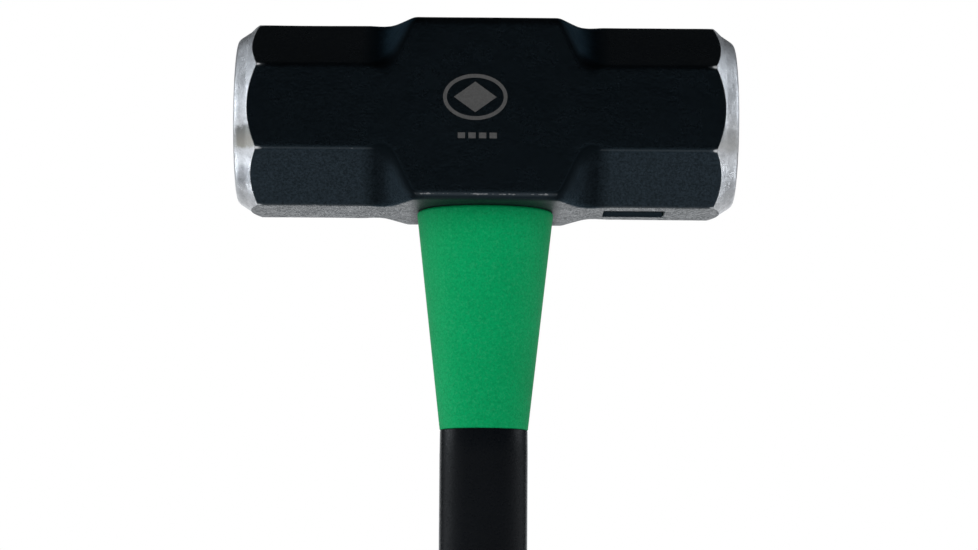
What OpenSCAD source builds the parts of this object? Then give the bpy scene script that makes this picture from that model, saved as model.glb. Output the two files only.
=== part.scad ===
// Double-faced sledgehammer with a fibreglass-cored handle.
// Origin at the centre of the butt's underside, +Z up the handle, +X along the head.

/* [Overall] */
// Length from the butt to the top of the head
total_length = 914.4; // [700:0.1:1000]
// Length of the straight part shared by every oval section of the handle
oval_straight = 8; // [6:0.5:10]

/* [Head] */
// Length of the head over both striking faces
head_length = 203.4; // [180:0.1:230]
// Width and height of the square middle block
head_section = 73.8; // [70:0.2:76]
// Width of each flat of the octagonal ends, measured on the side facets
facet_width = 34; // [34:0.2:38]
// Distance from the middle to where each bevel starts to rise
runout_start = 45; // [40:0.5:50]
// Radius of the concave foot of the rise at the end of each bevel
runout_radius = 10; // [10:0.2:14]
// Steepness of the straight ramp above that foot
runout_angle = 56; // [56:1:60]
// How much further out the rise starts on the lower bevels at the back
runout_lead = 3.5; // [0:0.5:5]
// Rounding of the long edges of the middle block
edge_radius = 3; // [1:0.5:4]
// Radius of each turned striking face
face_radius = 33.2; // [28:0.2:34]
// Height of the crown on each striking face
crown_height = 1; // [0.5:0.1:2]
// Growth in radius for each millimetre of the shallow turned cone behind the face
rim_slope = 0.66; // [0.6:0.01:0.9]
// Radius at which the shallow cone meets the steeper one that cuts the corners
break_radius = 36.6; // [34:0.1:36.7]
// Growth in radius for each millimetre of the steeper cone
corner_slope = 0.98; // [0.9:0.01:1.3]

/* [Pocket under the head] */
// Length of the shallow pocket
pocket_length = 25; // [16:1:30]
// Width of the pocket
pocket_width = 16; // [8:1:18]
// Depth of the pocket
pocket_depth = 2; // [1:0.5:3]
// Distance from the middle of the head to the middle of the pocket
pocket_offset = 60.5; // [55:0.5:68]

/* [Eye] */
// Width of the eye across the handle at its waist
eye_waist = 27; // [26:0.5:29]
// Width of the eye at its lower mouth
eye_lower = 32; // [30:0.5:34]
// Width of the eye at its upper mouth
eye_upper = 33; // [30:0.5:36]
// Height of the rubber dam in the lower mouth
dam_height = 6; // [4:0.5:10]
// How far the rod's end stays below the top of the head
rod_recess = 2.4; // [1:0.1:5]
// How far the adhesive stays below the top of the head
adhesive_recess = 3.4; // [2:0.1:6]

/* [Core rod] */
// Thickness of the oval rod, front to back
rod_d = 22; // [20:0.5:23]
// Number of ring grooves that key the rod into the adhesive
groove_count = 3; // [1:1:4]
// Depth of each ring groove
groove_depth = 0.8; // [0.4:0.1:1.5]
// Width of each ring groove
groove_width = 4; // [2:0.5:5]

/* [Overstrike guard] */
// Height of the guard below the head
guard_height = 88.7; // [70:0.1:110]
// Thickness of the guard front to back, where it meets the head
guard_upper = 47.3; // [44:0.1:50]
// Thickness of the guard front to back, at its lower edge
guard_lower = 27.4; // [27.4:0.1:30]
// Height of the rounded shoulder under the head
shoulder = 1.4; // [1:0.1:4]

/* [Handle jacket] */
// Thickness of the jacket just below the guard
jacket_upper = 27.4; // [27:0.1:28]
// Thickness of the jacket where it meets the grip sleeve
jacket_lower = 26.8; // [26:0.1:28]
// Thickness of the jacket's neck at the guard's lower edge
neck_lower = 24.6; // [24:0.1:26]
// Thickness of the jacket's neck under the head
neck_upper = 36; // [34.5:0.5:38]

/* [Grip and butt] */
// Height of the top of the grip sleeve above the butt
grip_top = 300; // [220:5:360]
// Thickness of the jacket inside the grip sleeve
grip_core = 25.2; // [24:0.1:26]
// Thickness of the grip sleeve over its ribs
grip_d = 31; // [30:0.2:33]
// Depth of the grooves between the ribs
rib_depth = 1; // [0.5:0.1:1.6]
// Number of grooves around the grip sleeve
rib_count = 14; // [6:1:18]
// Distance from one groove to the next
rib_pitch = 13; // [10:0.5:13]
// Thickness of the flared butt
butt_d = 38; // [34:0.5:42]
// Height of the butt cap's flange
cap_height = 14; // [12:0.5:18]
// Depth of the cap's spigot in the jacket
spigot_height = 22; // [20:1:30]
// Chamfer around the bottom of the cap
cap_chamfer = 2.5; // [1:0.5:4]
// Height of the lanyard hole's axis above the butt
hole_height = 24.5; // [23:0.5:26]
// Outer diameter of the lanyard bushing
bushing_od = 11; // [10:0.5:12]
// Bore of the lanyard bushing
bushing_bore = 9; // [7:0.5:9]

/* [Hidden] */
$fn = 96;
half_section = head_section / 2;
head_centre = total_length - half_section;
head_bottom = total_length - head_section;
bevel_distance = (half_section + facet_width / 2) / sqrt(2);
guard_bottom = head_bottom - guard_height;
rod_bottom = cap_height + spigot_height;
rod_top = total_length - rod_recess;
groove_spacing = 18;
flare_top = 62;
flare_bottom = 36;
rib_start = 84;
rib_land = 9;
lead_in = 1.5;
over = 1;

// An upright oval prism: two half rounds joined by a straight, with its thickness running from d1 to d2.
module oval(d1, d2, h) {
    for (side = [-1, 1])
        translate([side * oval_straight / 2, 0, 0])
            cylinder(d1 = d1, d2 = d2, h = h);
    rotate([90, 0, 90])
        linear_extrude(height = oval_straight, center = true)
            polygon([[-d1 / 2, 0], [d1 / 2, 0], [d2 / 2, h], [-d2 / 2, h]]);
}

// Head: the square bar with its four long edges rounded.
module bar() {
    inner = half_section - edge_radius;
    cube([head_length, head_section, 2 * inner], center = true);
    cube([head_length, 2 * inner, head_section], center = true);
    for (y = [-inner, inner], z = [-inner, inner])
        translate([0, y, z])
            rotate([0, 90, 0])
                cylinder(r = edge_radius, h = head_length, center = true);
}

// What one end's bevel takes off the upper long edge: a flat cut, a concave foot and a straight ramp.
module bevel_cut(start) {
    centre = [start, bevel_distance + runout_radius];
    foot = centre - runout_radius * [sin(runout_angle), cos(runout_angle)];
    ramp_height = half_section / 2;
    ramp_top = foot + ramp_height * [-1 / tan(runout_angle), 1];
    rotate([90, 0, 0])
        linear_extrude(height = head_section, center = true)
            union() {
                translate([start, bevel_distance])
                    square([head_length, head_section]);
                translate(centre)
                    circle(r = runout_radius);
                polygon([foot, ramp_top, [start, ramp_top[1]], centre]);
            }
}

// The turned envelope: crowned faces with a chamfer that reaches past the octagon's corners.
module turned_envelope() {
    crown_steps = 5;
    half = head_length / 2;
    rim = half - crown_height;
    break_at = rim - (break_radius - face_radius) / rim_slope;
    clear_radius = head_section;
    crown = [for (i = [0:crown_steps])
        let (r = face_radius * i / crown_steps)
        [r, half - crown_height * pow(r / face_radius, 2)]];
    clear_at = break_at - (clear_radius - break_radius) / corner_slope;
    upper = concat(crown, [[break_radius, break_at], [clear_radius, clear_at]]);
    lower = [for (i = [len(upper) - 1:-1:0]) [upper[i][0], -upper[i][1]]];
    rotate([0, 90, 0])
        rotate_extrude()
            polygon(concat(upper, lower));
}

// The double-tapered eye, with its waist at mid-height, in the head's own frame.
module eye() {
    translate([0, 0, -half_section])
        oval(eye_lower, eye_waist, half_section);
    oval(eye_waist, eye_upper, half_section);
}

module head_eye_cut() {
    eye();
    translate([0, 0, half_section - lead_in])
        oval(eye_upper - lead_in, eye_upper + 2 * lead_in, 2 * lead_in);
    translate([0, 0, -half_section - over])
        oval(eye_lower, eye_lower, over);
}

module head() {
    color("#15181b")
        translate([0, 0, head_centre])
            intersection() {
                turned_envelope();
                difference() {
                    bar();
                    for (end = [0, 1], turn = [45:90:315])
                        mirror([end, 0, 0])
                            rotate([turn, 0, 0])
                                bevel_cut(runout_start + (turn == 225 ? runout_lead : 0));
                    head_eye_cut();
                    translate([pocket_offset, 0, -half_section])
                        cube([pocket_length, pocket_width, 2 * pocket_depth], center = true);
                }
            }
}

// Core rod: an oval fibreglass bar with ring grooves inside the eye.
module rod_solid() {
    groove_bottom = head_centre - groove_spacing * (groove_count - 1) / 2 - groove_width / 2;
    difference() {
        translate([0, 0, rod_bottom])
            oval(rod_d, rod_d, rod_top - rod_bottom);
        for (i = [0:groove_count - 1])
            translate([0, 0, groove_bottom + i * groove_spacing])
                difference() {
                    oval(rod_d + over, rod_d + over, groove_width);
                    oval(rod_d - 2 * groove_depth, rod_d - 2 * groove_depth, groove_width);
                }
    }
}

module core_rod() {
    color("#c9b45c")
        rod_solid();
}

// What fills the eye between two heights above the head's underside, around the rod.
module eye_filling(low, high) {
    difference() {
        intersection() {
            translate([0, 0, head_centre])
                eye();
            translate([-head_section / 2, -head_section / 2, head_bottom + low])
                cube([head_section, head_section, high - low]);
        }
        rod_solid();
    }
}

module eye_adhesive() {
    color("#2e2a20")
        eye_filling(dam_height, head_section - adhesive_recess);
}

module eye_dam() {
    color("#1c1c1c")
        eye_filling(0, dam_height);
}

// The jacket's neck, which flares up to the head inside the guard.
module neck_solid() {
    translate([0, 0, guard_bottom])
        oval(neck_lower, neck_upper, guard_height);
}

module overstrike_guard() {
    guard_slope = (guard_upper - guard_lower) / guard_height;
    shoulder_d = guard_upper - guard_slope * shoulder;
    color("#119253")
        difference() {
            translate([0, 0, guard_bottom])
                union() {
                    oval(guard_lower, shoulder_d, guard_height - shoulder);
                    translate([0, 0, guard_height - shoulder])
                        oval(shoulder_d, shoulder_d - 2 * shoulder, shoulder);
                }
            neck_solid();
        }
}

// Cross hole for the lanyard bushing.
module cross_hole(d) {
    translate([0, 0, hole_height])
        rotate([90, 0, 0])
            cylinder(d = d, h = butt_d + 2 * over, center = true);
}

module handle_jacket() {
    color("#17191b")
        difference() {
            union() {
                translate([0, 0, cap_height])
                    oval(grip_core, grip_core, grip_top - cap_height);
                translate([0, 0, grip_top])
                    oval(jacket_lower, jacket_upper, guard_bottom - grip_top);
                neck_solid();
            }
            translate([0, 0, cap_height - over])
                oval(rod_d, rod_d, total_length);
            cross_hole(bushing_od);
        }
}

module grip_sleeve() {
    color("#232527")
        difference() {
            union() {
                translate([0, 0, cap_height])
                    oval(butt_d, butt_d, flare_bottom - cap_height);
                translate([0, 0, flare_bottom])
                    oval(butt_d, grip_d, flare_top - flare_bottom);
                translate([0, 0, flare_top])
                    oval(grip_d, grip_d, grip_top - lead_in - flare_top);
                translate([0, 0, grip_top - lead_in])
                    oval(grip_d, grip_d - 2 * lead_in, lead_in);
            }
            for (i = [0:rib_count - 1])
                translate([0, 0, rib_start + i * rib_pitch])
                    difference() {
                        oval(grip_d + over, grip_d + over, rib_pitch - rib_land);
                        oval(grip_d - 2 * rib_depth, grip_d - 2 * rib_depth, rib_pitch - rib_land);
                    }
            translate([0, 0, cap_height - over])
                oval(grip_core, grip_core, grip_top);
            cross_hole(bushing_od);
        }
}

module butt_cap() {
    color("#0f1011")
        difference() {
            union() {
                oval(butt_d - 2 * cap_chamfer, butt_d, cap_chamfer);
                translate([0, 0, cap_chamfer])
                    oval(butt_d, butt_d, cap_height - cap_chamfer);
                translate([0, 0, cap_height])
                    oval(rod_d, rod_d, spigot_height);
            }
            cross_hole(bushing_od);
        }
}

module lanyard_bushing() {
    bushing_length = butt_d - over;
    color("#b9bcc0")
        translate([0, 0, hole_height])
            rotate([90, 0, 0])
                difference() {
                    cylinder(d = bushing_od, h = bushing_length, center = true);
                    cylinder(d = bushing_bore, h = butt_d + over, center = true);
                }
}

head();
core_rod();
eye_adhesive();
eye_dam();
overstrike_guard();
handle_jacket();
grip_sleeve();
butt_cap();
lanyard_bushing();
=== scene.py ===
"""Looks of the sledgehammer: detailed meshes, materials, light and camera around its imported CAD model."""
import math

import bmesh
import bpy
import numpy as np
from mathutils import Matrix, Vector, noise


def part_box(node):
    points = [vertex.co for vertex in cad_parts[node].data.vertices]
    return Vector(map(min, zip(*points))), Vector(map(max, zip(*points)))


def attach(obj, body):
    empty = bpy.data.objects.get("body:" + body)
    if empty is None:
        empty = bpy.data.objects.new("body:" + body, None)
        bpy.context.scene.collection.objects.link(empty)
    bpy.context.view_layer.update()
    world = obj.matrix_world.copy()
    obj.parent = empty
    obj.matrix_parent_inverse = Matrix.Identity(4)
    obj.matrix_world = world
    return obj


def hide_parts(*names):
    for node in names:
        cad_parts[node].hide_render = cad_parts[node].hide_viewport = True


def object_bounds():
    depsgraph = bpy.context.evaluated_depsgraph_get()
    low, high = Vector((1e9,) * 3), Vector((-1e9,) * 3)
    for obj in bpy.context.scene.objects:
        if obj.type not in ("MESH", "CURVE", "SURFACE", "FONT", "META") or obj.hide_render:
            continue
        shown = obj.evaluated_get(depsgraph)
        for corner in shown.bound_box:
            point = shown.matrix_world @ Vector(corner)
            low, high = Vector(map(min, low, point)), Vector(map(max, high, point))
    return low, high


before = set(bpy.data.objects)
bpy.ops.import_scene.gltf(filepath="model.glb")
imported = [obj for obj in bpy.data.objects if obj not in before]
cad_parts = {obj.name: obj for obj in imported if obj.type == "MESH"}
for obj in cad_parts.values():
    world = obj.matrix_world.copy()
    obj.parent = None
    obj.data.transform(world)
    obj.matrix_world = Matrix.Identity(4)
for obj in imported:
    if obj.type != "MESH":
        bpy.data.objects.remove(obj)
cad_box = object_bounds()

MM = 0.001

# Places read from the frame.
HEAD_LOW, HEAD_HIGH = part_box("head")
GUARD_LOW, GUARD_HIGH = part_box("overstrike_guard")
JACKET_LOW, JACKET_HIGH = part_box("handle_jacket")
GRIP_LOW, GRIP_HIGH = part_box("grip_sleeve")
CAP_LOW, CAP_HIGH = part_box("butt_cap")
BUSHING_LOW, BUSHING_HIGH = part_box("lanyard_bushing")

# Head, in metres, in its own frame: x along the head, the origin at its centre.
HALF_LENGTH = HEAD_HIGH.x
HALF_SECTION = HEAD_HIGH.y
HEAD_CENTRE = Vector((0, 0, (HEAD_LOW.z + HEAD_HIGH.z) / 2))
FACET = 34 * MM
RUNOUT_START = 45 * MM
RUNOUT_RADIUS = 10 * MM
RUNOUT_ANGLE = math.radians(56)
RUNOUT_LEAD = 3.5 * MM
FACE_RADIUS = 33.2 * MM
CROWN = 1.0 * MM
RIM_SLOPE = 0.66
BREAK_RADIUS = 36.6 * MM
CORNER_SLOPE = 0.98
BEVEL_DISTANCE = (HALF_SECTION + FACET / 2) / math.sqrt(2)
FACET_ANGLE = math.atan(FACET / 2 / HALF_SECTION)
FOOT_REACH = RUNOUT_RADIUS * math.sin(RUNOUT_ANGLE)
FOOT_RISE = RUNOUT_RADIUS * (1 - math.cos(RUNOUT_ANGLE))

# Widths over which the head's surfaces blend: the wider, the rounder the edge.
EDGE_BLEND = 3.4 * MM
CREASE_BLEND = 0.9 * MM
BLOCK_BLEND = 5.4 * MM
PAINT_LINE_BLEND = 0.22 * MM
RIM_BLEND = 1.5 * MM

# Openings and printed marks of the head.
EYE_WAIST = 27 * MM
EYE_LOWER = 32 * MM
EYE_UPPER = 33 * MM
EYE_LIP = 1.5 * MM
POCKET_LENGTH = 25 * MM
POCKET_WIDTH = 16 * MM
POCKET_DEPTH = 2 * MM
POCKET_OFFSET = 60.5 * MM
MARK_X = -4.5 * MM
MARK_Z = 4.1 * MM
PIP_PITCH = 4.2 * MM
CUTTER_PAST = 1 * MM  # how far a cutter reaches past the surface

# Oval sections of the handle: thicknesses, and the straight that joins the two half rounds.
STRAIGHT = 8 * MM
OVAL_POWER = 2.15
ROUND_SEGMENTS = 96
GUARD_LOWER = 27.4 * MM
GUARD_UPPER = 47.3 * MM
NECK_LOWER = 24.6 * MM
NECK_UPPER = 36 * MM
JACKET_LOWER = 26.8 * MM
JACKET_CORE = 25.2 * MM
ROD_BORE = 22.2 * MM
SPIGOT = 21.8 * MM
GRIP_BODY = 31 * MM
BUTT = 38 * MM
FIT = 0.1 * MM  # room left in an opening that another piece fills

# Ribs of the grip and its flare towards the butt, as heights above the ground.
FLARE_LOW = 36 * MM
FLARE_HIGH = 62 * MM
RIBS_LOW = 84 * MM
RIB_PITCH = 13 * MM
RIB_COUNT = 14
RIB_GAP = 4 * MM
RIB_DEPTH = 1 * MM

# Radii of the lanyard bushing and of the hole that it sits in.
BUSHING_OUTER = 5.5 * MM
BUSHING_BORE = 4.5 * MM
BUSHING_HOLE = 5.55 * MM
BUSHING_Z = (BUSHING_LOW.z + BUSHING_HIGH.z) / 2


# ---------------------------------------------------------------- mesh helpers

def new_object(name, mesh, materials):
    """A finished piece with the given materials: it rides on the only body."""
    for material in materials:
        mesh.materials.append(material)
    piece = bpy.data.objects.new(name, mesh)
    bpy.context.scene.collection.objects.link(piece)
    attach(piece, "root")
    return piece


def grid_mesh(name, rings, closed_ends=True):
    """A mesh through rings of equal length. closed_ends puts a fan on the first and last ring."""
    rings = np.asarray(rings, float)
    rows, columns, _ = rings.shape
    vertices = [tuple(p) for p in rings.reshape(-1, 3)]
    faces = []
    for i in range(rows - 1):
        for j in range(columns):
            k = (j + 1) % columns
            faces.append((i * columns + j, i * columns + k, (i + 1) * columns + k, (i + 1) * columns + j))
    if closed_ends:
        for row, turn in ((0, -1), (rows - 1, 1)):
            centre = len(vertices)
            vertices.append(tuple(rings[row].mean(axis=0)))
            for j in range(columns):
                a, b = row * columns + j, row * columns + (j + 1) % columns
                faces.append((centre, a, b) if turn > 0 else (centre, b, a))
    mesh = bpy.data.meshes.new(name)
    mesh.from_pydata(vertices, [], faces)
    mesh.validate()
    return mesh


def outward(mesh):
    """Turns all faces outwards and shades them smooth."""
    work = bmesh.new()
    work.from_mesh(mesh)
    bmesh.ops.recalc_face_normals(work, faces=work.faces)
    work.to_mesh(mesh)
    work.free()
    for polygon in mesh.polygons:
        polygon.use_smooth = True
    return mesh


def tube_mesh(name, rings):
    """A closed tube: the last ring joins the first, so the rings run down the outside and up the inside."""
    rings = np.asarray(rings, float)
    return outward(grid_mesh(name, np.concatenate([rings, rings[:1]]), closed_ends=False))


def oval_ring(thickness, z):
    """An oval section with the same width and thickness as two half rounds joined by a straight."""
    t = np.linspace(0, 2 * math.pi, ROUND_SEGMENTS, endpoint=False)
    c, s = np.cos(t), np.sin(t)
    x = np.sign(c) * np.abs(c) ** (2 / OVAL_POWER) * (thickness + STRAIGHT) / 2
    y = np.sign(s) * np.abs(s) ** (2 / OVAL_POWER) * thickness / 2
    return np.stack([x, y, np.full_like(x, z)], axis=1)


def slot_ring(thickness, z):
    """The exact section: two half rounds joined by a straight."""
    t = np.linspace(0, 2 * math.pi, ROUND_SEGMENTS, endpoint=False) + math.pi / ROUND_SEGMENTS
    x = thickness / 2 * np.cos(t) + np.sign(np.cos(t)) * STRAIGHT / 2
    y = thickness / 2 * np.sin(t)
    return np.stack([x, y, np.full_like(x, z)], axis=1)


def quarter(steps):
    """Angles of a quarter turn, both ends included."""
    return np.linspace(0, math.pi / 2, steps)


# ---------------------------------------------------------------- materials

class Nodes:
    """Short calls for building one node material."""

    def __init__(self, name):
        self.material = bpy.data.materials.new(name)
        self.material.use_nodes = True
        self.tree = self.material.node_tree
        self.shader = self.tree.nodes["Principled BSDF"]

    def add(self, kind, inputs=None, **properties):
        node = self.tree.nodes.new(kind)
        for key, value in properties.items():
            setattr(node, key, value)
        for key, value in (inputs or {}).items():
            self.set(node.inputs[key], value)
        return node

    def set(self, socket, value):
        if isinstance(value, bpy.types.NodeSocket):
            self.tree.links.new(value, socket)
        else:
            socket.default_value = value

    def math(self, operation, a, b=0.0, c=0.0):
        node = self.add("ShaderNodeMath", operation=operation)
        for socket, value in zip(node.inputs, (a, b, c)):
            self.set(socket, value)
        return node.outputs[0]

    def object_position(self):
        return self.add("ShaderNodeTexCoord").outputs["Object"]

    def split(self, vector):
        """The three parts of a vector, by the names X, Y and Z."""
        return self.add("ShaderNodeSeparateXYZ", {0: vector}).outputs

    def product(self, *values):
        result = values[0]
        for value in values[1:]:
            result = self.math("MULTIPLY", result, value)
        return result

    def stretched(self, scale):
        """The object's own position, scaled differently along each axis."""
        node = self.add("ShaderNodeVectorMath", operation="MULTIPLY")
        self.set(node.inputs[0], self.object_position())
        node.inputs[1].default_value = scale
        return node.outputs[0]

    def noise(self, scale, detail=3.0, roughness=0.5, vector=None):
        vector = vector or self.object_position()
        inputs = {"Vector": vector, "Scale": scale, "Detail": detail, "Roughness": roughness}
        return self.add("ShaderNodeTexNoise", inputs).outputs["Fac"]

    def ramp(self, value, low, high, to_low=0.0, to_high=1.0):
        inputs = {0: value, 1: low, 2: high, 3: to_low, 4: to_high}
        return self.add("ShaderNodeMapRange", inputs).outputs[0]

    def mix(self, factor, a, b):
        node = self.add("ShaderNodeMix", data_type="RGBA")
        self.set(node.inputs[0], factor)
        self.set(node.inputs[6], a)
        self.set(node.inputs[7], b)
        return node.outputs[2]

    def bump(self, height, distance, strength=1.0, normal=None):
        inputs = {"Height": height, "Distance": distance, "Strength": strength}
        node = self.add("ShaderNodeBump", inputs)
        if normal is not None:
            self.set(node.inputs["Normal"], normal)
        return node.outputs["Normal"]

    def finish(self, **inputs):
        for key, value in inputs.items():
            self.set(self.shader.inputs[key.replace("_", " ")], value)
        return self.material


def rgb(r, g, b):
    return (r, g, b, 1.0)


def black_enamel():
    """Thin black enamel over a forging: a fine grain, bare metal and painted highlights where the mesh says
    so, painted reflection on the underside and painted shade in the run-outs.
    """
    n = Nodes("black_enamel")
    broad = n.noise(38, 4, 0.6)
    speck = n.noise(1050, 5, 0.75)
    peel = n.noise(300, 2, 0.5)
    patches = n.noise(260, 4, 0.7)
    facing = n.split(n.add("ShaderNodeTexCoord").outputs["Normal"])
    place = n.split(n.object_position())
    along = n.math("ABSOLUTE", place["X"])

    # Painted reflection: the downward faces get a coarser, lighter grain, which stands in for the white floor
    # that they mirror. Right around the handle it is held back, which paints the shade between the head and
    # the guard; there the paint is also rougher.
    down = n.ramp(facing["Z"], -0.3, -0.65)
    guard_shade = n.product(down, n.ramp(along, 31 * MM, 25 * MM))
    underside_grain_and_sheen = n.math("MULTIPLY_ADD", guard_shade, -0.9, down)

    # The run-outs are calmer and duller than the rest, and painted darker as painted shade: they get fewer
    # light specks, and further down a metallic share that dims their reflections.
    oblique = n.math("ABSOLUTE", n.product(facing["Y"], facing["Z"]))
    hollow = n.product(n.ramp(along, 50 * MM, 44 * MM), n.ramp(along, 24 * MM, 29 * MM))
    hollow = n.product(hollow, n.ramp(oblique, 0.04, 0.12))
    calm = n.math("MULTIPLY_ADD", hollow, -0.2, 0.8)
    grain = n.product(n.ramp(speck, 0.42, 0.7), n.math("MULTIPLY_ADD", hollow, -0.8, 1.0))

    # Bare metal where the wear and highlight stored in the mesh is strong, with a ragged edge: real wear at
    # the creases' ends, a painted highlight along the paint edge and along the lower edges.
    close = n.add("ShaderNodeAttribute", attribute_name="wear_and_highlight").outputs["Fac"]
    worn_and_highlit = n.ramp(n.math("ADD", close, n.ramp(patches, 0.3, 0.7, -0.35, 0.35)), 0.62, 0.8)
    bare_and_highlit = n.product(worn_and_highlit, n.ramp(close, 0.7, 1.2, 0.3, 1.0))

    tone = n.mix(n.ramp(broad, 0.35, 0.7), rgb(0.0005, 0.0008, 0.0011), rgb(0.0010, 0.0014, 0.0018))
    tone = n.mix(n.product(grain, 0.5), tone, rgb(0.0038, 0.0050, 0.0062))
    # Painted reflection: lighter grain on the downward faces, held back near the handle as painted shade.
    tone = n.mix(n.product(grain, underside_grain_and_sheen), tone, rgb(0.020, 0.028, 0.037))
    # Painted highlight: a faint lighter line along every worn and highlit edge, then bare steel where they
    # are strong.
    tone = n.mix(n.ramp(close, 0.1, 0.6, 0.0, 0.13), tone, rgb(0.2, 0.22, 0.24))
    tone = n.mix(bare_and_highlit, tone, rgb(0.66, 0.66, 0.67))

    # A shallow groove crosses the lower front bevel near one end.
    from_groove = n.math("ABSOLUTE", n.math("ADD", place["X"], 85.8 * MM))
    groove = n.ramp(from_groove, 0.3 * MM, 1 * MM)
    crossed = n.product(n.ramp(facing["Y"], -0.4, -0.6), n.ramp(facing["Z"], -0.4, -0.6))
    normal = n.bump(broad, 0.6 * MM, 0.25)
    normal = n.bump(peel, 0.12 * MM, 0.5, normal)
    normal = n.bump(speck, 0.2 * MM, calm, normal)
    normal = n.bump(groove, 0.08 * MM, crossed, normal)

    rough = n.ramp(n.noise(120, 4, 0.65), 0.3, 0.7, 0.2, 0.3)
    rough = n.math("MULTIPLY_ADD", n.product(underside_grain_and_sheen, n.ramp(speck, 0.56, 0.36)), 0.3, rough)
    for mask, more in ((hollow, 0.28), (guard_shade, 0.3), (bare_and_highlit, 0.12)):
        rough = n.math("MULTIPLY_ADD", mask, more, rough)
    # Painted shade: a metallic share on the dark base dims the run-outs' reflections, a little more on their
    # upward faces.
    shaded = n.product(hollow, n.ramp(facing["Z"], 0.1, 0.3, 0.55, 0.72))
    metallic = n.math("MAXIMUM", n.product(bare_and_highlit, 0.35), shaded)
    return n.finish(
        Base_Color=tone, Roughness=rough, Metallic=metallic, Normal=normal, IOR=1.45,
        Specular_IOR_Level=0.4, Specular_Tint=rgb(0.48, 0.77, 1.0),
    )


def ground_steel():
    """Turned and rubbed steel: faint rings, blotches, small pits, and two darker bands of painted reflection
    on the front chamfer.
    """
    n = Nodes("ground_steel")
    place = n.split(n.object_position())
    y = place["Y"]
    z = n.math("SUBTRACT", place["Z"], HEAD_CENTRE.z)
    radius = n.math("SQRT", n.math("ADD", n.product(y, y), n.product(z, z)))
    rings = n.add("ShaderNodeCombineXYZ")
    for socket, value, scale in zip(rings.inputs, (radius, y, z), (2600.0, 90.0, 90.0)):
        n.set(socket, n.product(value, scale))
    turned = n.noise(1.0, 4, 0.6, rings.outputs[0])
    blotch = n.noise(240, 5, 0.75)
    pits = n.noise(1000, 5, 0.85)
    tone = n.mix(n.ramp(blotch, 0.35, 0.7), rgb(0.60, 0.605, 0.62), rgb(0.40, 0.405, 0.42))
    tone = n.mix(n.ramp(pits, 0.46, 0.68, 0.0, 0.6), tone, rgb(0.27, 0.27, 0.28))

    # Two darker bands on the front chamfer, one brownish, are painted reflections: strong at the -x end and
    # faint at the other, and they stay off the striking faces.
    ragged = n.ramp(n.noise(210, 4, 0.7), 0.3, 0.7, -0.3, 0.3)
    ragged = n.math("ADD", ragged, n.ramp(pits, 0.3, 0.7, -0.3, 0.3))
    amount = n.ramp(place["X"], -30 * MM, 30 * MM, 0.9, 0.35)
    amount = n.product(amount, n.ramp(radius, 32.6 * MM, 34.5 * MM))
    brown = n.mix(n.ramp(z, -9 * MM, -14 * MM), rgb(0.156, 0.16, 0.155), rgb(0.275, 0.265, 0.235))
    grey = rgb(0.185, 0.19, 0.2)
    for painted_band, height, depth, half_height, soft in (
            (brown, -11.9 * MM, -34 * MM, 5 * MM, 0.5), (grey, -26.2 * MM, -24 * MM, 4.6 * MM, 0.15)):
        low = n.product(n.math("SUBTRACT", z, height), 1 / half_height)
        front = n.product(n.math("SUBTRACT", y, depth), 70.0)
        spread = n.math("ADD", n.product(low, low), n.product(front, front))
        spread = n.math("ADD", spread, ragged)
        tone = n.mix(n.product(n.ramp(spread, soft, 1.0, 1.0, 0.0), amount), tone, painted_band)

    mottle = n.math("ADD", n.product(turned, 0.5), n.product(blotch, 0.5))
    normal = n.bump(turned, 0.04 * MM, 0.4)
    normal = n.bump(pits, 0.16 * MM, 0.7, normal)
    normal = n.bump(blotch, 0.4 * MM, 0.3, normal)
    return n.finish(
        Base_Color=tone, Metallic=1.0, Roughness=n.ramp(mottle, 0.35, 0.65, 0.24, 0.4), Normal=normal,
    )


def green_rubber():
    """Moulded rubber with a fine matt grain, darker and lighter in specks."""
    n = Nodes("green_rubber")
    broad = n.noise(30, 3, 0.5)
    grain = n.noise(1150, 4, 0.7)
    tone = n.mix(n.ramp(broad, 0.3, 0.7), rgb(0.001, 0.335, 0.105), rgb(0.001, 0.38, 0.124))
    tone = n.mix(n.ramp(grain, 0.44, 0.64, 0.0, 0.55), tone, rgb(0.001, 0.23, 0.072))
    tone = n.mix(n.ramp(n.noise(800, 4, 0.75), 0.5, 0.68, 0.0, 0.4), tone, rgb(0.03, 0.43, 0.18))
    normal = n.bump(grain, 0.0003, 0.9)
    rough = n.ramp(grain, 0.3, 0.7, 0.55, 0.7)
    return n.finish(
        Base_Color=tone, Roughness=rough, Normal=normal, IOR=1.4,
        Specular_IOR_Level=0.22, Specular_Tint=rgb(0.35, 1.0, 0.6),
    )


def black_plastic(name, tone, roughness, grain_scale, grain_depth):
    """A dark moulded plastic or rubber with a grain of that fineness and depth."""
    n = Nodes(name)
    grain = n.noise(grain_scale, 4, 0.65)
    broad = n.noise(26, 3, 0.5)
    colour = n.mix(n.ramp(broad, 0.3, 0.7), rgb(*tone), rgb(*[1.5 * c for c in tone]))
    normal = n.bump(grain, grain_depth, 0.6)
    rough = n.ramp(grain, 0.3, 0.7, roughness - 0.06, roughness + 0.08)
    return n.finish(Base_Color=colour, Roughness=rough, Normal=normal, IOR=1.45, Specular_IOR_Level=0.17)


def grey_print():
    """Matt grey ink, slightly speckled."""
    n = Nodes("grey_print")
    speckle = n.noise(1400, 3, 0.6)
    tone = n.mix(n.ramp(speckle, 0.35, 0.7), rgb(0.052, 0.052, 0.052), rgb(0.08, 0.08, 0.08))
    return n.finish(Base_Color=tone, Roughness=n.ramp(speckle, 0.3, 0.7, 0.45, 0.6))


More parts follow.
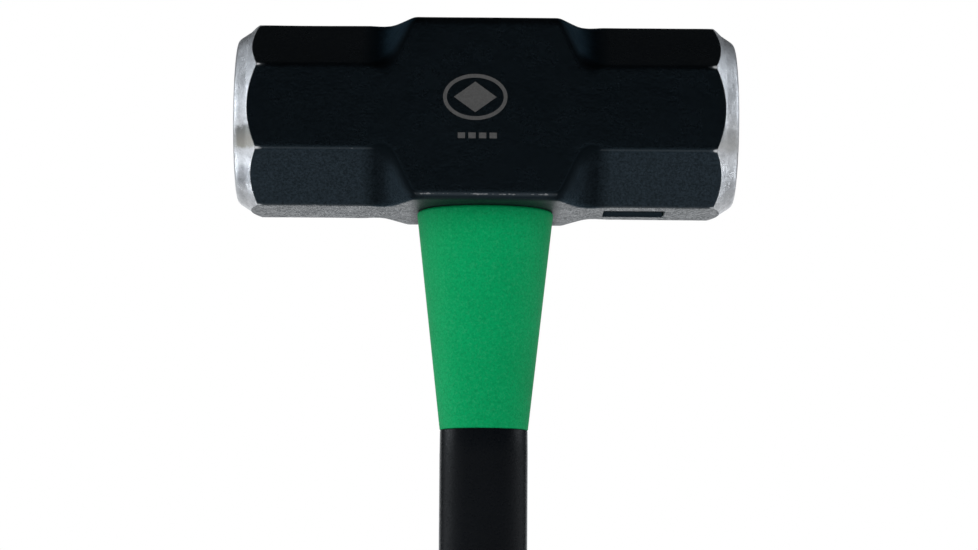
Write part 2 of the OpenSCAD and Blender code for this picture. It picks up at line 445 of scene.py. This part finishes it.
def fibreglass():
    """The sawn rod: pale and dark fibres along its length."""
    n = Nodes("fibreglass")
    fibres = n.noise(1.0, 2, 0.6, n.stretched((1800, 1800, 12)))
    tone = n.mix(n.ramp(fibres, 0.35, 0.65), rgb(0.62, 0.49, 0.2), rgb(0.36, 0.27, 0.1))
    normal = n.bump(fibres, 0.0001, 0.6)
    return n.finish(Base_Color=tone, Roughness=0.45, Normal=normal)


def cured_resin():
    """Dark, cloudy, glossy resin."""
    n = Nodes("cured_resin")
    cloud = n.noise(160, 4, 0.6)
    tone = n.mix(n.ramp(cloud, 0.3, 0.7), rgb(0.035, 0.026, 0.015), rgb(0.06, 0.045, 0.025))
    normal = n.bump(n.noise(420, 2, 0.5), 0.0001, 0.4)
    return n.finish(Base_Color=tone, Roughness=0.22, Normal=normal)


def plated_steel():
    """Bright plating with faint lines along the tube."""
    n = Nodes("plated_steel")
    lines = n.noise(1.0, 3, 0.6, n.stretched((900, 60, 900)))
    tone = n.mix(n.ramp(lines, 0.3, 0.7), rgb(0.62, 0.62, 0.63), rgb(0.5, 0.5, 0.51))
    normal = n.bump(lines, 0.00003, 0.5)
    rough = n.ramp(lines, 0.3, 0.7, 0.2, 0.32)
    return n.finish(Base_Color=tone, Metallic=1.0, Roughness=rough, Normal=normal)


PAINT = black_enamel()
STEEL = ground_steel()
GREEN = green_rubber()
JACKET = black_plastic("jacket_plastic", (0.0016, 0.0024, 0.0036), 0.3, 1100, 0.00015)
GRIP = black_plastic("grip_rubber", (0.011, 0.0115, 0.0125), 0.62, 1700, 0.0001)
CAP = black_plastic("cap_plastic", (0.007, 0.0075, 0.0085), 0.4, 900, 0.00004)


# ---------------------------------------------------------------- head

def soft_max(a, b, width):
    """The larger of two distances, blended over that width, which rounds the edge between two surfaces."""
    h = np.maximum(width - np.abs(a - b), 0) / width
    return np.maximum(a, b) + h * h * width / 4


def runout_start(angle):
    """The x at which the bevels rise: further out on the lower ones at the back."""
    behind_and_below = (np.cos(angle) > 0) & (np.sin(angle) < 0)
    return RUNOUT_START + np.where(behind_and_below, RUNOUT_LEAD, 0)


def bevel_plane(x, angle):
    """Distance of the bevel from the head's axis at x: flat, then a concave foot, then a straight ramp."""
    inward = np.maximum(runout_start(angle) - np.abs(x), 0)
    foot = RUNOUT_RADIUS - np.sqrt(RUNOUT_RADIUS ** 2 - np.minimum(inward, FOOT_REACH) ** 2)
    ramp = np.maximum(inward - FOOT_REACH, 0) * math.tan(RUNOUT_ANGLE)
    return BEVEL_DISTANCE + foot + ramp


def runout_place(rise, angle):
    """The x at which the bevel has risen that far."""
    foot = np.sqrt(RUNOUT_RADIUS ** 2 - (RUNOUT_RADIUS - np.minimum(rise, FOOT_RISE)) ** 2)
    ramp = np.maximum(rise - FOOT_RISE, 0) / math.tan(RUNOUT_ANGLE)
    return runout_start(angle) - foot - ramp


def chamfer_radius(x):
    """Radius of the turned chamfer at x: a shallow cone behind the face, then a steeper one."""
    inward = HALF_LENGTH - CROWN - np.abs(x)
    shallow = FACE_RADIUS + inward * RIM_SLOPE
    steep = BREAK_RADIUS + (inward - (BREAK_RADIUS - FACE_RADIUS) / RIM_SLOPE) * CORNER_SLOPE
    return np.maximum(shallow, steep)


def chamfer_place(radius):
    """The x at which the turned chamfer has that radius."""
    shallow = (radius - FACE_RADIUS) / RIM_SLOPE
    steep = (BREAK_RADIUS - FACE_RADIUS) / RIM_SLOPE + (radius - BREAK_RADIUS) / CORNER_SLOPE
    return HALF_LENGTH - CROWN - np.where(radius < BREAK_RADIUS, shallow, steep)


def head_radius(x, angle):
    """Distance from the head's axis to its painted body and chamfer, found by bisection along each ray."""
    c, s = np.abs(np.cos(angle)), np.abs(np.sin(angle))
    low, high = np.zeros_like(x), np.full_like(x, 2 * HALF_SECTION)
    near_block = np.clip((runout_start(angle) + 3 * MM - np.abs(x)) / (14 * MM), 0, 1)
    near_block = near_block * near_block * (3 - 2 * near_block)
    blend = CREASE_BLEND + (BLOCK_BLEND - CREASE_BLEND) * near_block
    for _ in range(40):
        r = (low + high) / 2
        sides = soft_max(r * c - HALF_SECTION, r * s - HALF_SECTION, EDGE_BLEND)
        body = soft_max(sides, (r * c + r * s) / math.sqrt(2) - bevel_plane(x, angle), blend)
        cone = (r - chamfer_radius(x)) / math.hypot(1, CORNER_SLOPE)
        outside = soft_max(body, cone, PAINT_LINE_BLEND) > 0
        high = np.where(outside, r, high)
        low = np.where(outside, low, r)
    return (low + high) / 2


def eased(start, end, count, both=False):
    """Stations from start to end, closer together towards the end, or towards both ends."""
    t = np.linspace(0, 1, count + 1)[1:]
    t = (1 - np.cos(math.pi * t)) / 2 if both else np.sin(math.pi / 2 * t)
    return [start + (end - start) * v for v in t]


def octant_angles():
    """Angles from a facet's centre to the corner, closer together at the crease and at the corner."""
    corner = math.pi / 4
    crease = FACET_ANGLE
    near = np.array([-2.2, -1.4, -0.8, -0.4, 0, 0.4, 0.8, 1.4, 2.2]) * math.radians(1)
    at_corner = corner - np.array([7, 5.5, 4.2, 3.2, 2.3, 1.5, 0.8, 0]) * math.radians(1)
    flat = np.linspace(0, crease + near[0], 11)[:-1]
    bevel = np.linspace(crease + near[-1], at_corner[0], 6)[1:-1]
    return np.concatenate([flat, crease + near, bevel, at_corner])


def full_turn():
    """All angles around the head, by mirroring one octant."""
    octant = octant_angles()
    quadrant = np.concatenate([octant, (math.pi / 2 - octant[::-1])[1:]])
    return np.concatenate([quadrant[:-1] + k * math.pi / 2 for k in range(4)])


def folded(angles):
    """Each angle's distance from the centre of the nearest side, from zero to an eighth of a turn."""
    fold = np.mod(angles, math.pi / 2)
    return np.minimum(fold, math.pi / 2 - fold)


def half_head_rings(angles):
    """Rings from the middle of the head to its +x face. Also gives the row of the painted edge."""
    fold = folded(angles)
    wanted = HALF_SECTION * np.cos(math.pi / 4 - fold) / np.cos(fold)
    runout = runout_place(np.maximum(wanted - BEVEL_DISTANCE, 0), angles)
    on_bevel = BEVEL_DISTANCE / np.cos(math.pi / 4 - fold)
    flat_radius = np.where(fold < FACET_ANGLE, HALF_SECTION / np.cos(fold), on_bevel)
    edge = chamfer_place(flat_radius)

    # Along the body: over the block, down the run-out, along the flats, and past the painted edge.
    zero = np.zeros_like(angles)
    stations = [zero]
    ramp_top, ramp_foot = runout - 5 * MM, runout + 2.5 * MM
    flat_from = np.full_like(angles, RUNOUT_START + RUNOUT_LEAD + 4 * MM)
    stations += eased(zero, ramp_top, 8)
    stations += list(np.linspace(ramp_top, ramp_foot, 13)[1:])
    stations += eased(ramp_foot, flat_from, 9, both=True)
    stations += eased(flat_from, edge - 0.5 * MM, 18)
    stations += eased(edge - 0.5 * MM, edge, 4, both=True)
    painted = len(stations) - 1
    stations += eased(edge, edge + 0.6 * MM, 4, both=True)
    rings = []
    for x in stations:
        r = head_radius(x, angles)
        rings.append(np.stack([x, r * np.cos(angles), r * np.sin(angles)], axis=1))

    # Inwards: down the chamfer, around the rim and over the striking face.
    start = chamfer_radius(stations[-1])
    radii = eased(start, np.minimum(start - 0.1 * MM, BREAK_RADIUS), 3)
    radii += eased(radii[-1], np.full_like(start, FACE_RADIUS + 1.3 * MM), 5)
    flat_face = np.full_like(start, FACE_RADIUS - 1.8 * MM)
    radii += eased(radii[-1], flat_face, 10, both=True)
    radii += [flat_face * k for k in (0.9, 0.78, 0.64, 0.5, 0.36, 0.22, 0.1)]
    for r in radii:
        crown = HALF_LENGTH - CROWN * (r / FACE_RADIUS) ** 2
        x = -soft_max(-crown, -chamfer_place(r), RIM_BLEND)
        rings.append(np.stack([x, r * np.cos(angles), r * np.sin(angles)], axis=1))
    return rings, painted


def forged_waviness(point):
    """Slow unevenness that hammering and dressing leave in the forging, in metres."""
    broad = noise.noise(Vector(point) * 28)
    middling = noise.noise(Vector(point) * 75 + Vector((9, 2, 5)))
    return (0.14 * broad + 0.05 * middling) * MM


def cut(piece, cutter_mesh):
    """Takes a closed shape out of a piece for good."""
    cutter = bpy.data.objects.new("cutter", cutter_mesh)
    bpy.context.scene.collection.objects.link(cutter)
    modifier = piece.modifiers.new("cut", "BOOLEAN")
    modifier.operation = "DIFFERENCE"
    modifier.solver = "EXACT"
    modifier.object = cutter
    bpy.context.view_layer.update()
    result = bpy.data.meshes.new_from_object(piece.evaluated_get(bpy.context.evaluated_depsgraph_get()))
    piece.modifiers.clear()
    piece.data = result
    bpy.data.objects.remove(cutter)


def closeness(distance, width):
    """One at no distance, falling off over that width."""
    return np.exp(-(distance / width) ** 2)


def wear_and_highlight_places(rings, angles, edge):
    """How worn the paint is at each point, with the painted highlights kept in the same numbers: wear at the
    creases' ends, a painted highlight along its edge and on lower edges.

    Each place has a strength and a width over which it fades.
    """
    x = np.abs(rings[:, :, 0])
    fold = folded(angles)
    off_crease = (np.abs(fold - FACET_ANGLE) * BEVEL_DISTANCE)[None, :]
    to_edge = edge[None, :] - x
    cusp = 1.4 * closeness(off_crease, 0.75 * MM) * closeness(np.maximum(to_edge, 0), 2.2 * MM)
    rim = 0.75 * closeness(to_edge, 0.22 * MM)
    lower = (np.sin(angles) < 0)[None, :]
    crease = 0.5 * closeness(off_crease, 0.4 * MM) * (x > RUNOUT_START) * lower
    y, z = np.abs(rings[:, :, 1]), np.abs(rings[:, :, 2])
    above_underside = np.where(y > z, HALF_SECTION - z, HALF_SECTION)
    corner = 0.68 * closeness(above_underside - 2.0 * MM, 0.6 * MM) * (x < 28 * MM) * lower
    return np.maximum.reduce([cusp, rim + 0 * x, crease, corner])


def build_head():
    """The forged head: both halves in one mesh, painted between the lines where the chamfers begin."""
    angles = full_turn()
    half, painted = half_head_rings(angles)
    mirrored = [ring * np.array([-1, 1, 1]) for ring in half[:0:-1]]
    rings = np.array(mirrored + half)
    middle = len(mirrored)
    steel_from = middle + painted
    steel_to = middle - painted
    # Wear, and painted highlights along the edges, for the enamel to read at each point.
    wear_and_highlight = wear_and_highlight_places(rings, angles, half[painted][:, 0])
    for i in range(steel_to + 1, steel_from):
        for j in range(rings.shape[1]):
            p = rings[i, j]
            axis = math.hypot(p[1], p[2])
            grown = 1 + forged_waviness(p) / axis
            rings[i, j, 1:] = p[1:] * grown
    rings += np.array(HEAD_CENTRE)
    mesh = grid_mesh("forged_head", rings)
    columns = rings.shape[1]
    for polygon in mesh.polygons:
        row = polygon.index // columns
        polygon.material_index = 0 if steel_to <= row < steel_from else 1
    centres = len(mesh.vertices) - wear_and_highlight.size
    worn_and_highlit = mesh.attributes.new("wear_and_highlight", "FLOAT", "POINT")
    worn_and_highlit.data.foreach_set("value", np.concatenate([wear_and_highlight.ravel(), np.zeros(centres)]).astype(np.float32))
    outward(mesh)
    return new_object("forged_head", mesh, [PAINT, STEEL])


def eye_cutter():
    """The double-tapered eye, with a rounded lip at its upper mouth."""
    lower_mouth = slot_ring(EYE_LOWER + 2 * FIT, HEAD_LOW.z - CUTTER_PAST)
    rings = [lower_mouth, slot_ring(EYE_WAIST, HEAD_CENTRE.z)]
    for a in quarter(7):
        grow = EYE_LIP * (1 - math.cos(a))
        rings.append(slot_ring(EYE_UPPER + 2 * grow, HEAD_HIGH.z - EYE_LIP + EYE_LIP * math.sin(a)))
    rings.append(slot_ring(EYE_UPPER + 2 * EYE_LIP, HEAD_HIGH.z + CUTTER_PAST))
    return outward(grid_mesh("eye_cutter", rings))


def rounded_rectangle(length, width, corner, z, steps=6):
    """A level ring around a rectangle with rounded corners."""
    points = []
    for k, (sx, sy) in enumerate(((1, 1), (-1, 1), (-1, -1), (1, -1))):
        for a in np.linspace(k * math.pi / 2, (k + 1) * math.pi / 2, steps):
            x = sx * (length / 2 - corner) + corner * math.cos(a)
            y = sy * (width / 2 - corner) + corner * math.sin(a)
            points.append((x, y, z))
    return np.array(points)


def pocket_cutter():
    """The shallow pocket under one end of the head, with a softened rim."""
    corner, lip, fillet = 1.0 * MM, 0.35 * MM, 0.4 * MM
    floor = HEAD_LOW.z + POCKET_DEPTH

    def section(grow, z):
        return rounded_rectangle(POCKET_LENGTH + grow, POCKET_WIDTH + grow, corner + max(grow, 0) / 2, z)

    rings = [section(-2 * fillet, floor), section(0, floor - fillet)]
    for a in quarter(5):
        rings.append(section(2 * lip * (1 - math.cos(a)), HEAD_LOW.z + lip - lip * math.sin(a)))
    rings.append(section(2 * lip, HEAD_LOW.z - CUTTER_PAST))
    return outward(grid_mesh("pocket_cutter", np.array(rings) + np.array([POCKET_OFFSET, 0, 0])))


def filled_ring(outer, inner):
    """Faces between two outlines with the same number of points."""
    count = len(outer)
    faces = [(i, (i + 1) % count, count + (i + 1) % count, count + i) for i in range(count)]
    return list(outer) + list(inner), faces


def outline(kind, width, height, count=64):
    """Points around an oval, a diamond or a box of that size."""
    points = []
    for t in np.linspace(0, 2 * math.pi, count, endpoint=False):
        c, s = math.cos(t), math.sin(t)
        size = {"oval": 1.0, "diamond": abs(c) + abs(s), "box": max(abs(c), abs(s))}[kind]
        points.append((width / 2 * c / size, height / 2 * s / size))
    return points


def printed_marks():
    """Plain printed marks on the front: a ringed diamond and a row of pips, all without any meaning."""
    outer, inner = outline("oval", 25.6 * MM, 18.6 * MM), outline("oval", 22.6 * MM, 15.6 * MM)
    diamond = outline("diamond", 17 * MM, 12.4 * MM)
    pip = outline("box", 2.9 * MM, 2.3 * MM)
    centre = [(0, 0)] * len(pip)
    shapes = [(filled_ring(outer, inner), (MARK_X, MARK_Z)), (filled_ring(diamond, centre), (MARK_X, MARK_Z))]
    for k in range(4):
        shapes.append((filled_ring(pip, centre), (-9.9 * MM + k * PIP_PITCH, -11.4 * MM)))
    return shapes


def build_marks(head):
    """Lays the printed marks just above the head's front."""
    vertices, faces = [], []
    film = 0.04 * MM
    for (points, quads), (dx, dz) in printed_marks():
        first = len(vertices)
        for px, pz in points:
            start = Vector((px + dx, -2 * HALF_SECTION, pz + dz + HEAD_CENTRE.z))
            hit, place, _, _ = head.ray_cast(start, Vector((0, 1, 0)))
            assert hit
            vertices.append((place.x, place.y - film, place.z))
        faces += [tuple(first + k for k in quad) for quad in quads]
    mesh = bpy.data.meshes.new("printed_marks")
    mesh.from_pydata(vertices, [], faces)
    for polygon in mesh.polygons:
        polygon.use_smooth = True
    new_object("printed_marks", mesh, [grey_print()])


head = build_head()
cut(head, eye_cutter())
cut(head, pocket_cutter())
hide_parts("head")
build_marks(head)


# ---------------------------------------------------------------- handle

def seam(ring, height):
    """Raises the mould's parting line, which runs up both narrow sides of an oval."""
    angle = np.arctan2(ring[:, 1], ring[:, 0])
    near = np.maximum(np.cos(angle) ** 40, 0)
    grown = ring.copy()
    grown[:, 0] += np.sign(ring[:, 0]) * near * height
    return grown


def build_guard():
    """The tapered green sleeve, with a rounded shoulder under the head and a soft lower edge."""
    edge, shoulder, line = 0.5 * MM, 1.4 * MM, 0.12 * MM
    low, high = GUARD_LOW.z, GUARD_HIGH.z
    slope = (GUARD_UPPER - GUARD_LOWER) / (high - low)

    def outer(z, inset=0.0):
        return seam(oval_ring(GUARD_LOWER + slope * (z - low) - 2 * inset, z), line)

    rings = [outer(low, edge)]
    for a in quarter(6)[1:]:
        rings.append(outer(low + edge * (1 - math.cos(a)), edge * (1 - math.sin(a))))
    for z in np.linspace(low + edge, high - shoulder, 34)[1:-1]:
        rings.append(outer(z))
    for a in quarter(10):
        rings.append(outer(high - shoulder + shoulder * math.sin(a), shoulder * (1 - math.cos(a))))
    neck_middle = (NECK_LOWER + NECK_UPPER) / 2
    for z, bore in ((high, NECK_UPPER), ((low + high) / 2, neck_middle), (low, NECK_LOWER)):
        rings.append(oval_ring(bore + FIT, z))
    mesh = tube_mesh("overstrike_sleeve", rings)
    piece = new_object("overstrike_sleeve", mesh, [GREEN])
    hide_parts("overstrike_guard")


def build_jacket():
    """The handle's black shell: a core inside the grip, the bare handle, and a neck inside the guard."""
    edge, line = 0.5 * MM, 0.1 * MM
    grip_top, guard_low = GRIP_HIGH.z, GUARD_LOW.z
    low, high = JACKET_LOW.z, JACKET_HIGH.z
    slope = (GUARD_LOWER - JACKET_LOWER) / (guard_low - grip_top)
    rings = [oval_ring(JACKET_CORE, low), oval_ring(JACKET_CORE, grip_top)]
    for a in quarter(5):
        thickness = JACKET_LOWER - 2 * edge * (1 - math.sin(a))
        rings.append(oval_ring(thickness, grip_top + edge * (1 - math.cos(a))))
    for z in np.linspace(grip_top + edge, guard_low - edge, 46)[1:-1]:
        rings.append(seam(oval_ring(JACKET_LOWER + slope * (z - grip_top), z), line))
    for a in quarter(5):
        thickness = GUARD_LOWER - 2 * edge * (1 - math.cos(a))
        rings.append(oval_ring(thickness, guard_low - edge + edge * math.sin(a)))
    rings += [oval_ring(NECK_LOWER, guard_low), oval_ring(NECK_UPPER, high)]
    rings += [oval_ring(ROD_BORE, high), oval_ring(ROD_BORE, low)]
    mesh = tube_mesh("handle_shell", rings)
    piece = new_object("handle_shell", mesh, [JACKET])
    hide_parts("handle_jacket")
    return piece


def grip_thickness(z):
    """Outer thickness of the grip sleeve: a flared butt, then grooves between its ribs, then a plain band."""
    t = min(max((z - FLARE_LOW) / (FLARE_HIGH - FLARE_LOW), 0), 1)
    thickness = BUTT + (GRIP_BODY - BUTT) * t * t * (3 - 2 * t)
    place = z - RIBS_LOW
    if 0 <= place < RIB_COUNT * RIB_PITCH and place % RIB_PITCH < RIB_GAP:
        thickness -= 2 * RIB_DEPTH * math.sin(math.pi * (place % RIB_PITCH) / RIB_GAP) ** 0.6
    return thickness


def build_grip():
    """The grip sleeve: rings close enough together to shape its grooves, and a bore for the core."""
    low, high = GRIP_LOW.z, GRIP_HIGH.z
    foot, edge, step = 0.4 * MM, 1.5 * MM, 0.5 * MM
    rings = []
    for a in quarter(4):
        thickness = grip_thickness(low) - 2 * foot * (1 - math.sin(a))
        rings.append(oval_ring(thickness, low + foot * (1 - math.cos(a))))
    for z in np.arange(low + 2 * step, high - edge, step):
        rings.append(oval_ring(grip_thickness(z), z))
    for a in quarter(7):
        thickness = grip_thickness(high) - 2 * edge * (1 - math.cos(a))
        rings.append(oval_ring(thickness, high - edge + edge * math.sin(a)))
    rings += [oval_ring(JACKET_CORE + FIT, high), oval_ring(JACKET_CORE + FIT, low)]
    mesh = tube_mesh("soft_grip", rings)
    piece = new_object("soft_grip", mesh, [GRIP])
    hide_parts("grip_sleeve")
    return piece


def build_cap():
    """The butt cap: a flat foot with a rounded edge, and a spigot up into the jacket."""
    foot, edge = 2.5 * MM, 0.4 * MM
    low, top, spigot_top = CAP_LOW.z, GRIP_LOW.z, CAP_HIGH.z
    rings = [oval_ring((BUTT - 2 * foot) * k, low) for k in (0.3, 0.6, 0.9)]
    for a in quarter(8):
        rings.append(oval_ring(BUTT - 2 * foot * (1 - math.sin(a)), low + foot * (1 - math.cos(a))))
    for a in quarter(5):
        rings.append(oval_ring(BUTT - 2 * edge * (1 - math.cos(a)), top - edge + edge * math.sin(a)))
    rings += [oval_ring(SPIGOT, top), oval_ring(SPIGOT, spigot_top)]
    mesh = outward(grid_mesh("end_cap", rings))
    piece = new_object("end_cap", mesh, [CAP])
    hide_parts("butt_cap")
    return piece


def round_rings(profile):
    """Rings around an axis along y at the bushing's height, from pairs of a radius and a y."""
    t = np.linspace(0, 2 * math.pi, 64, endpoint=False)
    rings = []
    for radius, y in profile:
        x, z = radius * np.cos(t), radius * np.sin(t) + BUSHING_Z
        rings.append(np.stack([x, np.full_like(t, y), z], axis=1))
    return rings


def hole_cutter():
    """A rod across the handle, longer than the butt is thick."""
    half = 30 * MM
    return outward(grid_mesh("cross_hole", round_rings([(BUSHING_HOLE, -half), (BUSHING_HOLE, half)])))


def build_bushing():
    """A thin tube with lips rolled at both ends."""
    half, lip = BUSHING_HIGH.y, 0.5 * MM
    middle = (BUSHING_OUTER + BUSHING_BORE) / 2
    half_turn = np.linspace(0, math.pi, 9)[1:-1]
    profile = []
    for end, wall in ((1, BUSHING_OUTER), (-1, BUSHING_BORE)):
        profile += [(wall, end * (lip - half)), (wall, end * (half - lip))]
        for a in half_turn:
            profile.append((middle + end * lip * math.cos(a), end * (half - lip + lip * math.sin(a))))
    mesh = tube_mesh("bushing_tube", round_rings(profile))
    piece = new_object("bushing_tube", mesh, [plated_steel()])
    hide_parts("lanyard_bushing")


build_guard()
jacket = build_jacket()
grip = build_grip()
cap = build_cap()
build_bushing()
for part in (jacket, grip, cap):
    cut(part, hole_cutter())

for node, material in (("core_rod", fibreglass()), ("eye_dam", GRIP), ("eye_adhesive", cured_resin())):
    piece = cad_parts[node]
    piece.data.materials.clear()
    piece.data.materials.append(material)


# ---------------------------------------------------------------- stage, light and camera

def flat_board(name, width, height):
    """A single rectangle in its own xy plane."""
    w, h = width / 2, height / 2
    mesh = bpy.data.meshes.new(name)
    mesh.from_pydata([(-w, -h, 0), (w, -h, 0), (w, h, 0), (-w, h, 0)], [], [(0, 1, 2, 3)])
    return mesh


def aimed(item, place, target):
    """Puts a lamp or a board at a place, facing the target."""
    item.location = place
    item.rotation_euler = (Vector(target) - Vector(place)).to_track_quat("-Z", "Y").to_euler()
    bpy.context.scene.collection.objects.link(item)


def build_floor():
    """A pale floor that glows a little and fades to the white around it."""
    mesh = flat_board("floor", 80.0, 80.0)
    n = Nodes("pale_floor")
    distance = n.add("ShaderNodeVectorMath", operation="LENGTH")
    n.set(distance.inputs[0], n.object_position())
    away = n.ramp(distance.outputs["Value"], 0.7, 3.0)
    far = n.ramp(distance.outputs["Value"], 1.6, 8.0)
    cloud = n.ramp(n.noise(3, 3), 0.3, 0.7, 0.97, 1.0)
    near_tone = n.mix(cloud, rgb(0, 0, 0), rgb(0.32, 0.32, 0.32))
    glow = n.mix(away, rgb(0.43, 0.445, 0.455), rgb(0.60, 0.61, 0.62))
    n.set(n.shader.inputs["Emission Color"], n.mix(far, glow, rgb(1, 1, 1)))
    tone = n.mix(away, near_tone, rgb(0, 0, 0))
    finish = n.finish(Base_Color=tone, Roughness=0.9, Emission_Strength=1.0, Specular_IOR_Level=0.0)
    mesh.materials.append(finish)
    floor = bpy.data.objects.new("floor", mesh)
    bpy.context.scene.collection.objects.link(floor)
    floor.location.z = cad_box[0][2]


def build_world():
    """White to the camera. For everything else, dark above and in front, bright behind and at the sides."""
    world = bpy.data.worlds.new("studio")
    world.use_nodes = True
    bpy.context.scene.world = world
    tree = world.node_tree
    tree.nodes.clear()

    def add(kind, **properties):
        node = tree.nodes.new(kind)
        for key, value in properties.items():
            setattr(node, key, value)
        return node

    def link(a, b):
        tree.links.new(a, b)

    coordinates = add("ShaderNodeTexCoord")
    split = add("ShaderNodeSeparateXYZ")
    link(coordinates.outputs["Generated"], split.inputs[0])

    def ramp(value, low, high, to_low, to_high):
        node = add("ShaderNodeMapRange", interpolation_type="SMOOTHSTEP")
        link(value, node.inputs[0])
        for k, v in enumerate((low, high, to_low, to_high)):
            node.inputs[k + 1].default_value = v
        return node.outputs[0]

    def combine(operation, a, b):
        node = add("ShaderNodeMath", operation=operation)
        for socket, value in zip(node.inputs, (a, b)):
            if isinstance(value, float):
                socket.default_value = value
            else:
                link(value, socket)
        return node.outputs[0]

    behind = ramp(split.outputs["Y"], -0.1, 0.75, 0.0, 1.1)
    left = ramp(split.outputs["X"], -0.98, -0.55, 0.6, 0.0)
    right = ramp(split.outputs["X"], 0.6, 0.98, 0.0, 0.18)
    side = combine("MAXIMUM", left, right)
    above = ramp(split.outputs["Z"], 0.05, 0.5, 1.0, 0.05)
    glow = combine("MULTIPLY", combine("MAXIMUM", behind, side), above)
    level = combine("ADD", glow, 0.02)
    dim = add("ShaderNodeBackground")
    dim.inputs["Color"].default_value = (0.93, 0.97, 1.0, 1.0)
    link(level, dim.inputs["Strength"])
    white = add("ShaderNodeBackground")
    white.inputs["Color"].default_value = (1, 1, 1, 1)
    path = add("ShaderNodeLightPath")
    mix = add("ShaderNodeMixShader")
    link(path.outputs["Is Camera Ray"], mix.inputs[0])
    link(dim.outputs[0], mix.inputs[1])
    link(white.outputs[0], mix.inputs[2])
    output = add("ShaderNodeOutputWorld")
    link(mix.outputs[0], output.inputs[0])


def area_light(name, place, target, size, radiance, shows_in):
    """A soft panel of that radiance. It lights diffuse surfaces or shows in glossy ones, never both."""
    light = bpy.data.lights.new(name, "AREA")
    light.shape = "RECTANGLE"
    light.size, light.size_y = size
    light.energy = radiance * math.pi * size[0] * size[1]
    if shows_in == "glossy":
        light.color = (0.88, 0.94, 1.0)
    lamp = bpy.data.objects.new(name, light)
    lamp.visible_camera = False
    lamp.visible_glossy = shows_in == "glossy"
    lamp.visible_diffuse = shows_in == "diffuse"
    aimed(lamp, place, target)


def black_flag(name, place, target, size):
    """A black board that only shows in glossy surfaces: it keeps them dark where the studio would show."""
    mesh = flat_board(name, *size)
    n = Nodes(name)
    mesh.materials.append(n.finish(Base_Color=rgb(0.01, 0.01, 0.01), Roughness=1.0, Specular_IOR_Level=0.0))
    board = bpy.data.objects.new(name, mesh)
    aimed(board, place, target)
    for ray in ("camera", "diffuse", "transmission", "volume_scatter", "shadow"):
        setattr(board, "visible_" + ray, False)


def build_camera():
    """A long lens just below the head, tilted up a little, as the hammer was pictured."""
    camera = bpy.data.cameras.new("camera")
    camera.sensor_width = 36.0
    camera.lens = 108.0
    camera.clip_start = 0.05
    turn, tilt, roll = (math.radians(a) for a in (-0.49, 7.41, 0.37))
    aside, back, below = -8.4 * MM, 1182.3 * MM, 216.1 * MM
    upright = Matrix.Rotation(math.pi / 2 + tilt, 4, "X")
    place = Matrix.Translation(Vector((aside, -back, HEAD_CENTRE.z - below)))
    holder = bpy.data.objects.new("camera", camera)
    holder.matrix_world = place @ Matrix.Rotation(turn, 4, "Z") @ upright @ Matrix.Rotation(roll, 4, "Z")
    bpy.context.scene.collection.objects.link(holder)
    bpy.context.scene.camera = holder


def build_lights():
    """A broad key in front, and on each side a fill, and the cards and flags that the head mirrors."""
    head, handle = tuple(HEAD_CENTRE), (0, 0, 0.75)
    area_light("key_front", (-1.36, -4.76, 2.705), handle, (4.42, 3.74), 2.45, "diffuse")
    left = {"side": -1, "low": 16.0, "middle": 6.4, "upper": 1.5, "rim": 1.25, "fill": 2.2}
    right = {"side": 1, "low": 7.6, "middle": 3.4, "upper": 2.1, "rim": 0.6, "fill": 1.5}
    for panels in (left, right):
        side = panels["side"]
        area_light("card_low", (side * 0.94, 0.34, 0.415), head, (0.3, 0.13), panels["low"], "glossy")
        area_light("card_middle", (side * 1.19, -0.02, 1.07), head, (0.6, 0.22), panels["middle"], "glossy")
        area_light("card_upper", (side * 1.06, 0.17, 1.46), head, (0.5, 0.68), panels["upper"], "glossy")
        area_light("card_rim", (side * 0.79, 0.59, 1.75), head, (0.36, 0.36), panels["rim"], "glossy")
        area_light("fill_side", (side * 2.2, -0.6, 1.1), handle, (1.2, 1.6), panels["fill"], "diffuse")
        black_flag("flag_upper", (side * 1.115, 1.0, 1.28), (0, 0, 1.0), (0.75, 1.5))
        black_flag("flag_lower", (side * 1.166, 0.944, 0.46), (0, 0, 0.8), (0.42, 0.5))
    area_light("card_behind", (0, 2.2, 0.47), head, (3.0, 0.7), 0.3, "glossy")


build_floor()
build_world()
build_lights()
build_camera()
bpy.context.scene.view_settings.view_transform = "Standard"
